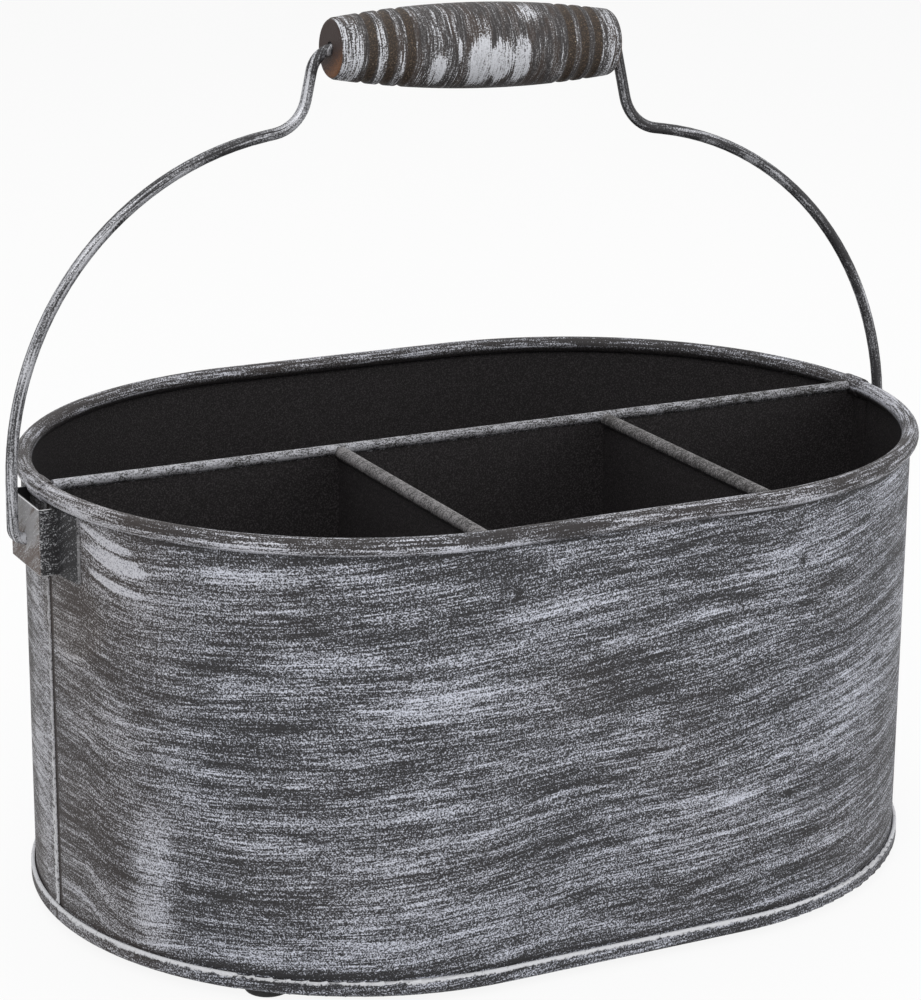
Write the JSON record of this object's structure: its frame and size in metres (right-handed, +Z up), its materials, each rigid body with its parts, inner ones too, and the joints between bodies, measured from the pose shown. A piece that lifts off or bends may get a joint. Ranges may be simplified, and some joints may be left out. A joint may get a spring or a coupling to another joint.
{
  "type": "cutlery caddy",
  "caption": "Oval sheet-metal cutlery caddy with divided compartments, a rolled rim and a folded base seam, carried by a swinging wire bail with a turned wooden grip.",
  "frame": {"origin": "on the surface that the feet stand on, under the middle of the tub", "axes": "+X along the tub, +Y to the back, where the one long compartment is, +Z up"},
  "size_m": [0.3067, 0.21, 0.2714],
  "materials": {
    "tub_paint": "charcoal paint, dry-brushed with silver round the tub, near black inside",
    "rim_core": "bare drawn wire, hidden in the rolled rim",
    "divider_paint": "near-black paint with worn silver top edges",
    "ear_paint": "charcoal paint brushed with silver, bright edges",
    "bail_paint": "dark grey wire with silver strokes along it",
    "grip_wood": "dark stained turned wood, brushed with pale paint, rust-brown grooves",
    "foot_rubber": "matt black"
  },
  "bodies": {
    "tub": {"front_wall": "tub_paint", "back_wall": "tub_paint", "rim_wire": "rim_core", "base_pan": "tub_paint", "long_divider": "divider_paint", "cross_divider_left": "divider_paint", "cross_divider_right": "divider_paint", "ear_left": "ear_paint", "ear_right": "ear_paint", "foot_front_left": "foot_rubber", "foot_front_right": "foot_rubber", "foot_back_left": "foot_rubber", "foot_back_right": "foot_rubber"},
    "bail": {"bail": "bail_paint"},
    "grip": {"grip": "grip_wood"}
  },
  "joints": [
    {"name": "bail_swing", "type": "hinge", "parent": "tub", "child": "bail", "pos_m": [0, 0, 0.1237], "axis": [1, 0, 0], "range_deg": [-100, 109]},
    {"name": "grip_spin", "type": "hinge", "parent": "bail", "child": "grip", "pos_m": [0.00357, 0.01106, 0.2582], "axis": [0.9994, -0.0029, -0.0348], "continuous": true}
  ]
}
